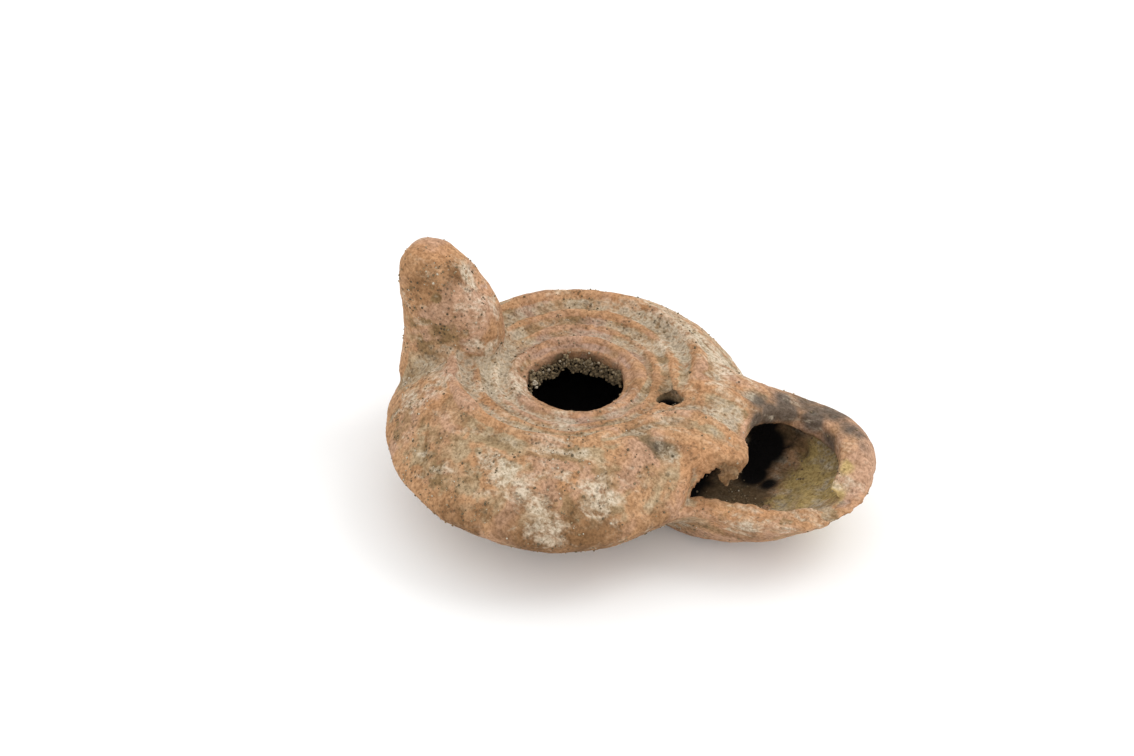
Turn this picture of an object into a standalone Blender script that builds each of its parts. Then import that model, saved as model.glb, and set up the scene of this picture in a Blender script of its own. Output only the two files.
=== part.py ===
"""A Roman oil lamp of fired clay, moulded in two halves, with one side of the spout's top broken away.

Metres, +Z up. +X runs along the lamp from the handle to the spout, and the origin is the centre of the flat base.
The lamp is one hollow solid: a bowl under a sunken lid with rings, a spout, and a solid lug for a handle.
"""

import math

import bmesh
import bpy
from mathutils import Vector
from mathutils.kdtree import KDTree

# The bowl. The two mould halves meet at the seam, where the lamp is widest. It is lopsided, as the real one is.
BASE_RADIUS = 0.0185
FOOT_HEIGHT = 0.0010
SEAM_HEIGHT = 0.0154
BOWL_BACK = 0.0391
BOWL_FRONT = 0.0368
BOWL_NEAR_SIDE = 0.0428
BOWL_FAR_SIDE = 0.0400
BELLY_ROUNDNESS = 1.42
SHOULDER_ROUNDNESS = 1.25
WALL = 0.0035
FLOOR_THICKNESS = 0.0040

# The sunken lid with its filling hole.
LID_RADIUS = 0.0285
LID_EDGE_HEIGHT = 0.0275
LID_CENTRE_HEIGHT = 0.0243
LID_EDGE_BLEND = 0.0020
TOP_SOFTNESS = 0.0022
LID_THICKNESS = 0.0036
FILL_HOLE_RADIUS = 0.0103

# The lid's rings: place as a share of the way from the filling hole to the lid's edge, crest, half width.
LIP_RING = (0.160, 0.0016, 0.0022)
FINE_RING = (0.357, 0.0008, 0.0015)
MIDDLE_RING = (0.566, 0.0010, 0.0018)
OUTER_RING = (0.840, 0.0021, 0.0026)

# The spout.
SPOUT_LENGTH = 0.0642
SPOUT_YAW = math.radians(1.5)
SPOUT_HALF_WIDTH = 0.0190
SPOUT_END_DEPTH = 0.0182
SPOUT_SQUARENESS = 2.25
SPOUT_TOP_HEIGHT = 0.0218
SPOUT_UNDERSIDE_POWER = 3.5
SPOUT_EDGE_WIDTH = 0.0055
SPOUT_EDGE_ROUNDNESS = 2.0
NECK_BLEND = 0.0058
WICK_HOLE_SETBACK = 0.0165
WICK_HOLE_RADIUS = 0.0098
AIR_HOLE_X = 0.0212
AIR_HOLE_LENGTH = 0.0056
AIR_HOLE_WIDTH = 0.0044

# The ridges that leave the outer ring and flank a shallow channel to the wick hole, as points in plan.
FAR_RIDGE = ((0.0235, 0.0098), (0.0260, 0.0055), (0.0300, 0.0042), (0.0380, 0.0050))
NEAR_RIDGE = ((0.0078, -0.0243), (0.0140, -0.0185), (0.0195, -0.0100), (0.0245, -0.0052), (0.0380, -0.0042))
RIDGE_CREST = 0.0010
RIDGE_HALF_WIDTH = 0.0026
RING_GAP_NEAR = math.radians(-62.0)
RING_GAP_FAR = math.radians(18.0)
RING_GAP_FADE = math.radians(14.0)

# The lug handle. Its sections are height, back, front and thickness, as shares of the four sizes.
HANDLE_RISE = 0.0291
HANDLE_ROOT_HEIGHT = 0.0205
HANDLE_LENGTH = 0.0200
HANDLE_THICKNESS = 0.0145
HANDLE_OVERHANG = 0.0012
HANDLE_SQUARENESS = 2.6
HANDLE_SECTIONS = (
    (-0.36, 0.30, 0.36, 0.80),
    (-0.17, 0.07, 0.28, 1.15),
    (0.00, 0.04, 1.00, 1.48),
    (0.14, 0.06, 1.12, 1.28),
    (0.30, 0.09, 1.15, 1.10),
    (0.46, 0.08, 1.11, 1.02),
    (0.62, 0.05, 1.02, 0.98),
    (0.76, 0.03, 0.88, 0.92),
    (0.87, 0.05, 0.74, 0.82),
    (0.95, 0.11, 0.60, 0.64),
    (0.99, 0.19, 0.48, 0.40),
)

# The break, as points in plan round the wick hole's centre, in shares of the hole's radius.
BREAK_DROP = 0.0004
BREAK_OUTLINE = (
    (-0.84, -0.30),
    (-0.70, -0.85),
    (-0.76, -1.20),
    (-1.25, -1.34),
    (-1.60, -1.62),
    (-1.70, -2.60),
    (2.20, -2.60),
    (2.20, -0.50),
    (0.70, -0.50),
)
TIP_BREAK_OUTLINE = (
    (0.30, -0.60),
    (2.20, -0.60),
    (2.20, 0.75),
    (0.85, 0.75),
)
TIP_BREAK_RISE = 0.0075

# How finely the solid is faceted.
COLUMNS = 104
SPOUT_DENSITY = 1.2
BELLY_STEPS = 7
SHOULDER_STEPS = 9
LID_STEPS = 16
CEILING_STEPS = 5
HOLLOW_STEPS = 6
HANDLE_SIDES = 28
CUTTER_MARGIN = 0.0100
OUTLINE_STEPS = 1440
SOLVE_STEPS = 30
SHARP_ANGLE = math.radians(32.0)

CLAY_COLOUR = (0.56, 0.32, 0.19, 1.0)
CLAY_ROUGHNESS = 0.85


def clear_scene():
    """Removes every object of the startup scene."""
    for thing in list(bpy.data.objects):
        bpy.data.objects.remove(thing, do_unlink=True)


def clay_material():
    """The fired clay: rough, reddish tan."""
    material = bpy.data.materials.new("fired_clay")
    material.use_nodes = True
    shader = material.node_tree.nodes["Principled BSDF"]
    shader.inputs["Base Color"].default_value = CLAY_COLOUR
    shader.inputs["Roughness"].default_value = CLAY_ROUGHNESS
    shader.inputs["Metallic"].default_value = 0.0
    return material


def smoothstep(low, high, value):
    """0 below low, 1 above high, and a smooth rise between."""
    t = min(1.0, max(0.0, (value - low) / (high - low)))
    return t * t * (3.0 - 2.0 * t)


def rounded_rise(share, roundness):
    """A rise from 0 to 1 that starts upright and ends level. A roundness of 1 is a straight slope, 2 an arc."""
    return (1.0 - (1.0 - min(1.0, share)) ** roundness) ** (1.0 / roundness)


def ridge(distance, half_width):
    """A rounded ridge's height as a share of its crest, at this distance from the crest."""
    t = min(1.0, abs(distance) / half_width)
    return 0.5 + 0.5 * math.cos(math.pi * t)


def distance_to_path(x, y, path):
    """Distance in plan from a point to a path of straight stretches."""
    point = Vector((x, y))
    nearest = math.inf
    for start, end in zip(path, path[1:]):
        start, end = Vector(start), Vector(end)
        run = end - start
        share = min(1.0, max(0.0, (point - start).dot(run) / run.length_squared))
        nearest = min(nearest, (point - start - run * share).length)
    return nearest


def bowl_reach(angle):
    """Distance from the axis to the bowl's widest outline in this direction."""
    along, across = math.cos(angle), math.sin(angle)
    half_length = BOWL_FRONT if along > 0.0 else BOWL_BACK
    half_width = BOWL_FAR_SIDE if across > 0.0 else BOWL_NEAR_SIDE
    return 1.0 / math.hypot(along / half_length, across / half_width)


def spout_reach(angle, inset):
    """Distance from the axis to the spout's outline, or 0 where the spout isn't in that direction."""
    angle = abs(math.remainder(angle - SPOUT_YAW, 2.0 * math.pi))
    if angle > math.radians(80.0):
        return 0.0
    low, high = 0.0, 2.0 * SPOUT_LENGTH
    for _ in range(SOLVE_STEPS):
        middle = (low + high) / 2.0
        along = max(0.0, middle * math.cos(angle) - SPOUT_LENGTH + SPOUT_END_DEPTH) / (SPOUT_END_DEPTH - inset)
        across = middle * math.sin(angle) / (SPOUT_HALF_WIDTH - inset)
        if along**SPOUT_SQUARENESS + across**SPOUT_SQUARENESS < 1.0:
            low = middle
        else:
            high = middle
    return low


def outline_radius(angle, inset=0.0):
    """Distance from the axis to the lamp's widest outline, moved in by an inset. The bowl and the spout blend."""
    bowl = bowl_reach(angle) - inset
    spout = spout_reach(angle, inset)
    high, low = max(bowl, spout), min(bowl, spout)
    overlap = max(0.0, NECK_BLEND - (high - low)) / NECK_BLEND
    return high + NECK_BLEND * overlap * overlap * 0.25


def column_angles(count):
    """Directions of the columns, spaced evenly along the outline, and more closely round the spout."""
    fine = OUTLINE_STEPS
    lengths = [0.0]
    previous = polar(outline_radius(0.0), 0.0, 0.0)
    for step in range(1, fine + 1):
        angle = 2.0 * math.pi * step / fine
        reach = outline_radius(angle)
        point = polar(reach, angle, 0.0)
        density = 1.0 + (SPOUT_DENSITY - 1.0) * smoothstep(0.0, 0.002, reach - bowl_reach(angle))
        lengths.append(lengths[-1] + (point - previous).length * density)
        previous = point
    angles = []
    step = 0
    for column in range(count):
        wanted = lengths[-1] * column / count
        while lengths[step + 1] < wanted:
            step += 1
        share = (wanted - lengths[step]) / (lengths[step + 1] - lengths[step])
        angles.append(2.0 * math.pi * (step + share) / fine)
    return angles


def polar(radius, angle, height):
    """The point at this distance and direction from the bowl's axis."""
    return Vector((radius * math.cos(angle), radius * math.sin(angle), height))


def spout_share(angle, reach):
    """0 where the outline is the bowl's, rising to 1 on the spout."""
    return smoothstep(0.0, 0.4 * (SPOUT_LENGTH - BOWL_FRONT), reach - bowl_reach(angle))


def ring_gap(angle):
    """1 in the middle of the stretch where the outer ring gives way to the channel, and 0 on the rest."""
    angle = math.remainder(angle, 2.0 * math.pi)
    opened = smoothstep(RING_GAP_NEAR - RING_GAP_FADE, RING_GAP_NEAR + RING_GAP_FADE, angle)
    return opened * (1.0 - smoothstep(RING_GAP_FAR - RING_GAP_FADE, RING_GAP_FAR + RING_GAP_FADE, angle))


def relief(x, y):
    """Height that the rings and the channel's ridges add to the top."""
    radius, angle = math.hypot(x, y), math.atan2(y, x)
    height = 0.0
    for place, crest, half_width in (LIP_RING, FINE_RING, MIDDLE_RING, OUTER_RING):
        ring_radius = FILL_HOLE_RADIUS + (LID_RADIUS - FILL_HOLE_RADIUS) * place
        strength = 1.0 - ring_gap(angle) if place == OUTER_RING[0] else 1.0
        height += crest * strength * ridge(radius - ring_radius, half_width)
    nearest = min(distance_to_path(x, y, FAR_RIDGE), distance_to_path(x, y, NEAR_RIDGE))
    return max(height, RIDGE_CREST * ridge(nearest, RIDGE_HALF_WIDTH))


def outline_tree():
    """Closely spaced points of the widest outline, for distances to it."""
    tree = KDTree(OUTLINE_STEPS)
    for step in range(OUTLINE_STEPS):
        angle = 2.0 * math.pi * step / OUTLINE_STEPS
        tree.insert(polar(outline_radius(angle), angle, 0.0), step)
    tree.balance()
    return tree


def top_height(outline, x, y):
    """Height of the top without its relief: the sunken lid, the shoulder round it, and the spout."""
    radius, angle = math.hypot(x, y), math.atan2(y, x)
    dish = smoothstep(FILL_HOLE_RADIUS, LID_RADIUS, radius)
    lid = LID_CENTRE_HEIGHT + (LID_EDGE_HEIGHT - LID_CENTRE_HEIGHT) * dish
    spout = smoothstep(0.75 * BOWL_FRONT, SPOUT_LENGTH - WICK_HOLE_SETBACK, x)
    shoulder_width = bowl_reach(angle) - LID_RADIUS
    width = shoulder_width + (SPOUT_EDGE_WIDTH - shoulder_width) * spout
    roundness = SHOULDER_ROUNDNESS + (SPOUT_EDGE_ROUNDNESS - SHOULDER_ROUNDNESS) * spout
    crest = LID_EDGE_HEIGHT + (SPOUT_TOP_HEIGHT - LID_EDGE_HEIGHT) * spout
    distance_in = outline.find((x, y, 0.0))[2]
    shoulder = SEAM_HEIGHT + (crest - SEAM_HEIGHT) * rounded_rise(distance_in / width, roundness)
    outside = smoothstep(LID_RADIUS - LID_EDGE_BLEND, LID_RADIUS + LID_EDGE_BLEND, radius)
    return lid + (shoulder - lid) * outside


def soft_height(outline, x, y):
    """The top's height averaged over a small disc, which shrinks to nothing at the outline."""
    reach = min(TOP_SOFTNESS, 0.5 * outline.find((x, y, 0.0))[2])
    turns = [math.pi * step / 4.0 for step in range(8)]
    heights = [top_height(outline, x + reach * math.cos(t), y + reach * math.sin(t)) for t in turns]
    return (top_height(outline, x, y) + sum(heights)) / (1 + len(heights))


def belly_rise(share, angle, reach):
    """How far the underside has risen to the seam, at this share of the way out from the foot."""
    bowl = 1.0 - rounded_rise(1.0 - share, BELLY_ROUNDNESS)
    spout = share**SPOUT_UNDERSIDE_POWER
    return bowl + (spout - bowl) * spout_share(angle, reach)


def closed_loft(name, loops):
    """A closed solid through loops of points, with a flat cap at each end."""
    bm = bmesh.new()
    previous = None
    for points in loops:
        ring = bmesh.ops.create_circle(bm, cap_ends=False, radius=1.0, segments=len(points))["verts"]
        for vertex, point in zip(ring, points):
            vertex.co = point
        bm.edges.index_update()
        edges = sorted({edge for vertex in ring for edge in vertex.link_edges}, key=lambda edge: edge.index)
        if previous is None:
            bmesh.ops.edgeloop_fill(bm, edges=edges)
        else:
            bmesh.ops.bridge_loops(bm, edges=previous + edges)
        previous = edges
    bmesh.ops.edgeloop_fill(bm, edges=previous)
    bmesh.ops.recalc_face_normals(bm, faces=bm.faces[:])
    mesh = bpy.data.meshes.new(name)
    bm.to_mesh(mesh)
    bm.free()
    mesh.shade_smooth()
    mesh.set_sharp_from_angle(angle=SHARP_ANGLE)
    made = bpy.data.objects.new(name, mesh)
    bpy.context.scene.collection.objects.link(made)
    return made


def belly_loops(columns, inner_radius, bottom, wall, steps):
    """Loops of the belly from this radius out to the seam, for the outer surface or the hollow."""
    loops = []
    for step in range(steps + 1):
        share = math.sin(0.5 * math.pi * step / steps)
        loop = []
        for angle, reach in columns:
            height = bottom + (SEAM_HEIGHT - bottom) * belly_rise(share, angle, reach + wall)
            loop.append(polar(inner_radius + (reach - inner_radius) * share, angle, height))
        loops.append(loop)
    return loops


def outer_loops(angles, outline):
    """Loops of the outer surface, from the base up the belly and over the shoulder to the filling hole's edge."""
    columns = [(angle, outline_radius(angle)) for angle in angles]
    loops = [[polar(BASE_RADIUS - FOOT_HEIGHT, angle, 0.0) for angle in angles]]
    loops += belly_loops(columns, BASE_RADIUS, FOOT_HEIGHT, 0.0, BELLY_STEPS)
    for step in range(1, SHOULDER_STEPS + LID_STEPS + 1):
        shoulder_share = 1.0 - math.cos(0.5 * math.pi * min(1.0, step / SHOULDER_STEPS))
        lid_share = max(0.0, (step - SHOULDER_STEPS) / LID_STEPS)
        loop = []
        for angle, reach in columns:
            radius = reach - (reach - LID_RADIUS) * shoulder_share - (LID_RADIUS - FILL_HOLE_RADIUS) * lid_share
            point = polar(radius, angle, 0.0)
            faded = smoothstep(0.0, WALL, reach - radius)
            point.z = soft_height(outline, point.x, point.y) + relief(point.x, point.y) * faded
            loop.append(point)
        loops.append(loop)
    return loops


def inner_loops(angles, outline):
    """Loops of the hollow, from the filling hole under the lid, out to the widest place and in over the floor."""
    columns = [(angle, outline_radius(angle, WALL)) for angle in angles]
    loops = []
    for step in range(CEILING_STEPS):
        share = math.cos(0.5 * math.pi * step / CEILING_STEPS)
        loop = []
        for angle, reach in columns:
            point = polar(reach - (reach - FILL_HOLE_RADIUS) * share, angle, 0.0)
            point.z = max(SEAM_HEIGHT, soft_height(outline, point.x, point.y) - LID_THICKNESS)
            loop.append(point)
        loops.append(loop)
    return loops + belly_loops(columns, BASE_RADIUS - WALL, FLOOR_THICKNESS, WALL, HOLLOW_STEPS)[::-1]


def handle_loops():
    """Loops of the lug, from inside the shoulder to its rounded top."""
    back_x = -BOWL_BACK - HANDLE_OVERHANG
    power = 2.0 / HANDLE_SQUARENESS
    loops = []
    for height_share, back, front, thick in HANDLE_SECTIONS:
        centre_x = back_x + HANDLE_LENGTH * (back + front) / 2.0
        half_length = HANDLE_LENGTH * (front - back) / 2.0
        height = HANDLE_ROOT_HEIGHT + HANDLE_RISE * height_share
        loop = []
        for side in range(HANDLE_SIDES):
            turn = 2.0 * math.pi * side / HANDLE_SIDES
            along, across = math.cos(turn), math.sin(turn)
            x = centre_x + half_length * math.copysign(abs(along) ** power, along)
            y = 0.5 * HANDLE_THICKNESS * thick * math.copysign(abs(across) ** power, across)
            loop.append(Vector((x, y, height)))
        loops.append(loop)
    middle = sum(loops[-1], Vector()) / HANDLE_SIDES
    top = Vector((0.0, 0.0, HANDLE_ROOT_HEIGHT + HANDLE_RISE - middle.z))
    loops.append([middle + (point - middle) * 0.5 + top for point in loops[-1]])
    return loops


def upright_cutter(name, outline, bottoms, top):
    """A prism over an outline in plan, to cut with, whose floor has a height at each point."""
    low = [Vector((x, y, z)) for (x, y), z in zip(outline, bottoms)]
    high = [Vector((x, y, top)) for x, y in outline]
    made = closed_loft(name, [low, high])
    made.hide_render = True
    made.display_type = "WIRE"
    return made


def hole_cutter(name, centre, half_length, half_width, sides):
    """A round or oval cutter that goes down through the top into the hollow."""
    turns = [2.0 * math.pi * side / sides for side in range(sides)]
    outline = [(centre.x + half_length * math.cos(t), centre.y + half_width * math.sin(t)) for t in turns]
    return upright_cutter(name, outline, [SEAM_HEIGHT] * sides, LID_EDGE_HEIGHT + CUTTER_MARGIN)


def break_cutters(centre):
    """The lost clay: the near half of the spout's top down to the seam, and a slope across the tip."""
    floor = SEAM_HEIGHT - BREAK_DROP
    cutters = []
    for name, shares, rise in (("break", BREAK_OUTLINE, 0.0), ("tip_break", TIP_BREAK_OUTLINE, TIP_BREAK_RISE)):
        outline = [(centre.x + u * WICK_HOLE_RADIUS, centre.y + v * WICK_HOLE_RADIUS) for u, v in shares]
        lowest, highest = min(v for _, v in shares), max(v for _, v in shares)
        bottoms = [floor + rise * (v - lowest) / (highest - lowest) for _, v in shares]
        cutters.append(upright_cutter(name, outline, bottoms, LID_EDGE_HEIGHT + CUTTER_MARGIN))
    return cutters


def combine(target, other, operation):
    """Adds an exact Boolean, and hides the other solid."""
    modifier = target.modifiers.new(other.name, "BOOLEAN")
    modifier.operation = operation
    modifier.solver = "EXACT"
    modifier.object = other
    other.hide_render = True
    other.display_type = "WIRE"


def build_lamp():
    """The whole lamp as one solid."""
    angles = column_angles(COLUMNS)
    outline = outline_tree()
    lamp = closed_loft("lamp", outer_loops(angles, outline) + inner_loops(angles[::2], outline))
    combine(lamp, closed_loft("handle_lug", handle_loops()), "UNION")
    air = hole_cutter("air_hole", Vector((AIR_HOLE_X, 0.0)), AIR_HOLE_LENGTH / 2, AIR_HOLE_WIDTH / 2, 20)
    wick_centre = polar(SPOUT_LENGTH - WICK_HOLE_SETBACK, SPOUT_YAW, 0.0)
    wick = hole_cutter("wick_hole", wick_centre, WICK_HOLE_RADIUS, WICK_HOLE_RADIUS, 40)
    for cutter in (air, wick, *break_cutters(wick_centre)):
        combine(lamp, cutter, "DIFFERENCE")
    lamp.data.materials.append(clay_material())
    return lamp


def main():
    clear_scene()
    build_lamp()


main()
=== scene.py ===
"""The looks of an excavated oil lamp of fired clay, on a pale studio floor.

The clay body is a finer copy of the lamp's solid, worn, pitted and chipped, and stained by lime, soil
and soot. Grains of soil cling to it. Metres, +Z up, +X along the lamp from the handle to the spout.
"""

import logging
import math
from dataclasses import dataclass
from enum import Enum
from typing import Sequence

import bmesh
import bpy
import numpy as np
from mathutils import Matrix, Vector, noise
from mathutils.bvhtree import BVHTree


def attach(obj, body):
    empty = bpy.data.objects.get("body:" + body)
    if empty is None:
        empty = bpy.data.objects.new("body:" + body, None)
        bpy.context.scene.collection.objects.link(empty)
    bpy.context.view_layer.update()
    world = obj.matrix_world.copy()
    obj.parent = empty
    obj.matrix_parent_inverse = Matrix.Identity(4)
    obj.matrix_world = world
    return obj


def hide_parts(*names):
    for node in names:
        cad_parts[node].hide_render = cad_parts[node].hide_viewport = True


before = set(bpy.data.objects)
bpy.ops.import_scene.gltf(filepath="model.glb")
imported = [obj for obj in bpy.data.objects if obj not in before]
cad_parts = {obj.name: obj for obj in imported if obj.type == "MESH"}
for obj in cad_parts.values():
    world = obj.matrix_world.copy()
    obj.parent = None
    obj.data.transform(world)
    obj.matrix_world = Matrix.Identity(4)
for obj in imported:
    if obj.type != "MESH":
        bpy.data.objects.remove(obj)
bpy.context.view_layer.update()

LOG = logging.getLogger("oil_lamp")
BODY = "root"
LAMP_NODE = "lamp"
MM = 0.001

Colour = tuple[float, float, float, float]
Socket = bpy.types.NodeSocket


def paint(red: int, green: int, blue: int) -> Colour:
    """A colour as the eye names it, from 0 to 255, made linear for the shader.

    Args:
        red: red share.
        green: green share.
        blue: blue share.

    Returns:
        The linear colour with full opacity.
    """
    shares = [value / 255.0 for value in (red, green, blue)]
    linear = [v / 12.92 if v <= 0.04045 else ((v + 0.055) / 1.055) ** 2.4 for v in shares]
    return (linear[0], linear[1], linear[2], 1.0)


class Stain(Enum):
    """What discolours the clay in places, and the light and shade painted with some of these. Each value
    names the mask on the clay's mesh.
    """

    LIME_AND_LIGHT = "lime"
    ROSE = "rose"
    OLIVE = "olive"
    ORANGE = "orange"
    SOOT = "soot"
    OCHRE_AND_LIGHT = "ochre"
    SOIL = "soil"
    BROWN = "brown"


@dataclass(frozen=True)
class Spot:
    """A soft-edged place on the lamp, in millimetres.

    Attributes:
        x: its middle along the lamp.
        y: its middle across the lamp.
        z: its middle's height.
        reach: how far it spreads.
        amount: its strength in the middle, or its depth in millimetres where it is a scoop.
        length: how many times longer it is along the lamp than across.
    """

    x: float
    y: float
    z: float
    reach: float
    amount: float = 1.0
    length: float = 1.0

    def share(self, points: np.ndarray) -> np.ndarray:
        """How much of the spot is at each point.

        Args:
            points: places in metres, one row each.

        Returns:
            The spot's amount at each point.
        """
        away = points / MM - np.array([self.x, self.y, self.z])
        away[:, 0] /= self.length
        return self.amount * np.exp(-np.sum(away**2, axis=1) / self.reach**2)


# Where each stain lies on the lamp, with the painted light and shade that some of them carry.
STAINS: dict[Stain, tuple[Spot, ...]] = {
    Stain.LIME_AND_LIGHT: (
        Spot(-23.8, -0.5, 43.8, 3.6, 0.95),
        Spot(-20.3, -1.9, 38.8, 4.0, 0.45),
        Spot(-19.0, -4.3, 32.0, 4.0, 0.40),
        Spot(-17.6, -2.3, 25.8, 5.0, 0.80),
        Spot(-18.5, -4.5, 30.0, 4.0, 0.80),
        # Painted light: this spot whitens the near-left of the lid as if lit from the upper left.
        Spot(-12.5, -9.6, 25.9, 6.0, 1.00),
        Spot(6.8, 24.6, 28.0, 6.5, 0.80),
        Spot(18.1, 20.4, 28.1, 7.0, 0.95),
        Spot(26.2, 18.3, 25.5, 8.0, 0.90),
        Spot(30.0, 24.0, 18.0, 9.0, 0.80),
        Spot(14.1, 16.0, 26.9, 3.5, 0.95),
        Spot(28.1, 10.2, 27.3, 4.0, 0.60),
        Spot(-4.5, -32.4, 25.2, 3.0, 0.85),
        Spot(-0.5, -34.2, 24.2, 3.5, 0.90),
        Spot(4.0, -35.4, 23.0, 3.5, 0.90),
        Spot(8.2, -36.6, 21.5, 3.0, 0.75),
        Spot(11.5, -38.4, 19.0, 3.5, 0.80),
        Spot(18.5, -30.1, 22.4, 4.5, 0.90),
        Spot(-25.0, -16.0, 26.5, 5.0, 0.60),
        Spot(-29.5, -19.0, 23.0, 4.0, 0.60),
        Spot(54.9, -14.2, 15.0, 6.0, 0.50),
        Spot(44.0, -18.0, 12.0, 5.0, 0.55),
        Spot(-3.3, -20.3, 27.2, 4.0, 0.45),
        Spot(10.0, -27.6, 26.8, 4.5, 0.55, 2.0),
        Spot(35.0, 0.0, 26.0, 4.0, 0.45),
        Spot(-17.0, -5.0, 27.0, 5.0, 0.85),
        Spot(-20.0, -11.0, 27.5, 3.5, 0.60),
        Spot(3.0, -13.5, 26.0, 3.0, 0.75),
        Spot(-6.0, 34.0, 24.0, 7.0, 0.70),
        Spot(-26.0, 26.0, 20.0, 8.0, 0.60),
        Spot(8.0, 30.0, 9.0, 10.0, 0.55),
    ),
    Stain.ROSE: (
        Spot(-10.3, 7.0, 25.7, 5.5, 0.90),
        Spot(-1.9, 11.7, 24.5, 6.5, 1.00),
        Spot(12.5, -8.0, 26.0, 3.5, 0.80),
        Spot(8.0, 9.0, 25.0, 5.5, 0.80),
        Spot(5.6, -13.2, 25.5, 5.0, 0.90),
        Spot(-5.0, -12.6, 25.6, 4.5, 0.60),
        Spot(11.1, -4.0, 25.5, 5.0, 0.90),
        Spot(-3.0, 17.0, 27.0, 4.0, 0.70),
        Spot(-21.0, 2.0, 41.0, 7.0, 0.75),
        Spot(-17.0, 18.0, 28.0, 8.0, 0.55),
        Spot(-22.5, -14.5, 28.5, 3.5, 0.80),
        Spot(62.0, -4.0, 16.0, 5.0, 0.60),
    ),
    Stain.OLIVE: (
        Spot(-31.0, -7.0, 38.0, 10.0, 1.00),
        Spot(-34.0, -6.0, 45.0, 6.0, 0.80),
        Spot(-36.0, 5.0, 34.0, 12.0, 0.80),
        Spot(-31.0, -23.0, 18.0, 12.0, 0.55),
        Spot(-16.0, -36.0, 19.0, 11.0, 0.70),
        Spot(-5.6, -34.2, 22.8, 7.0, 0.50),
        Spot(0.0, -20.0, 4.0, 30.0, 0.55),
        Spot(10.0, -24.5, 27.2, 5.0, 0.50, 1.6),
        Spot(-10.0, 20.0, 27.4, 7.0, 0.55),
        Spot(6.0, 21.0, 27.4, 7.0, 0.60),
        Spot(0.0, 38.0, 12.0, 18.0, 0.60),
        Spot(23.0, -10.3, 27.2, 3.0, 0.50),
        Spot(25.9, -15.7, 26.4, 2.6, 1.30, 2.4),
    ),
    Stain.ORANGE: (
        Spot(-31.7, -0.4, 49.5, 5.0, 0.90),
        Spot(-22.7, -17.7, 27.0, 4.5, 1.00),
        Spot(-13.5, -18.5, 28.0, 5.0, 0.80),
        Spot(-7.5, -22.4, 28.3, 5.0, 0.90),
        Spot(31.3, -14.7, 24.1, 6.0, 0.80),
        Spot(36.0, -8.0, 25.0, 4.5, 0.90),
        Spot(25.8, 4.5, 27.9, 4.0, 0.90),
        Spot(32.5, 7.0, 26.8, 4.0, 0.85),
        Spot(12.5, -30.5, 24.8, 3.2, 1.00),
        Spot(20.0, -5.5, 26.6, 4.0, 0.80),
        Spot(17.0, 9.5, 27.0, 4.5, 0.70),
        Spot(0.0, 24.5, 29.0, 6.0, 0.70, 1.6),
        Spot(41.0, -17.0, 13.0, 4.5, 0.70),
        Spot(46.6, -14.6, 14.5, 4.0, 0.80),
        Spot(33.0, -19.0, 18.0, 4.0, 0.85),
        Spot(6.0, -41.5, 15.5, 7.0, 0.60),
    ),
    Stain.SOOT: (
        Spot(42.9, 10.3, 22.7, 3.2, 1.20),
        Spot(48.4, 11.0, 21.4, 3.2, 1.20),
        Spot(52.9, 9.5, 18.5, 3.0, 1.00),
        Spot(40.2, 7.6, 22.8, 3.0, 1.20),
        Spot(38.2, 4.4, 22.8, 2.6, 1.10),
        Spot(37.3, 8.0, 24.8, 3.2, 0.95),
        Spot(41.5, 13.0, 23.2, 3.6, 0.85),
        Spot(45.4, 15.9, 21.7, 4.0, 0.80),
        Spot(51.4, 14.9, 21.4, 4.5, 0.95),
        Spot(56.5, 10.8, 21.5, 4.0, 0.80),
        Spot(60.4, 7.6, 20.7, 3.0, 0.50),
        Spot(46.0, 19.5, 16.0, 7.0, 0.80),
        Spot(48.0, 13.0, 21.8, 4.5, 0.95),
        Spot(25.9, -15.7, 26.4, 2.6, 0.75, 2.4),
    ),
    Stain.OCHRE_AND_LIGHT: (
        # Partly painted light: the first four spots, on the spout's floor, paint the light falling into the
        # spout in pale ochre. The rest are an ochre stain on the rim and beside the break.
        Spot(49.5, 6.8, 8.9, 6.0, 1.20),
        Spot(50.4, 12.4, 11.6, 5.5, 1.20),
        Spot(54.0, 3.0, 11.0, 7.0, 1.10),
        Spot(47.0, 0.0, 7.0, 4.0, 0.90),
        Spot(59.1, 1.7, 18.6, 3.0, 0.52),
        Spot(58.1, -2.7, 16.4, 3.5, 0.50),
        Spot(40.5, -13.2, 14.6, 3.5, 0.50),
    ),
    Stain.SOIL: (
        Spot(19.6, 1.2, 24.0, 2.6, 1.00),
        Spot(-1.0, 10.0, 21.0, 3.5, 0.90),
        Spot(-7.0, 7.4, 21.0, 3.5, 0.90),
        Spot(5.5, 8.5, 21.0, 3.0, 0.70),
        Spot(34.6, 3.2, 4.8, 6.0, 1.20),
        Spot(31.5, -1.0, 5.5, 6.0, 1.20),
        Spot(39.0, 0.5, 5.3, 5.5, 1.10),
        Spot(33.0, -8.0, 7.0, 6.0, 1.10),
        Spot(41.7, 15.7, 12.4, 2.6, 0.90),
        Spot(44.8, 15.1, 12.0, 2.2, 0.80),
    ),
    Stain.BROWN: (
        # Partly painted shade: the spots low on the near side of the bowl and spout, and the wide one under
        # the lamp, darken the clay towards the bottom.
        Spot(8.0, -41.5, 14.5, 10.0, 0.95),
        Spot(20.0, -37.0, 14.0, 10.0, 0.95),
        Spot(-6.0, -42.0, 14.0, 8.0, 0.75),
        Spot(30.0, -28.0, 13.0, 8.0, 0.70),
        Spot(13.0, -39.5, 17.5, 5.0, 0.85),
        Spot(45.0, -16.0, 9.0, 6.0, 0.60),
        Spot(38.6, -11.0, 20.9, 3.0, 0.90),
        Spot(-24.5, -3.0, 46.5, 4.0, 0.80),
        Spot(-31.0, -6.5, 44.0, 5.0, 0.60),
        Spot(0.0, 0.0, 0.0, 30.0, 0.80),
    ),
}

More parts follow.
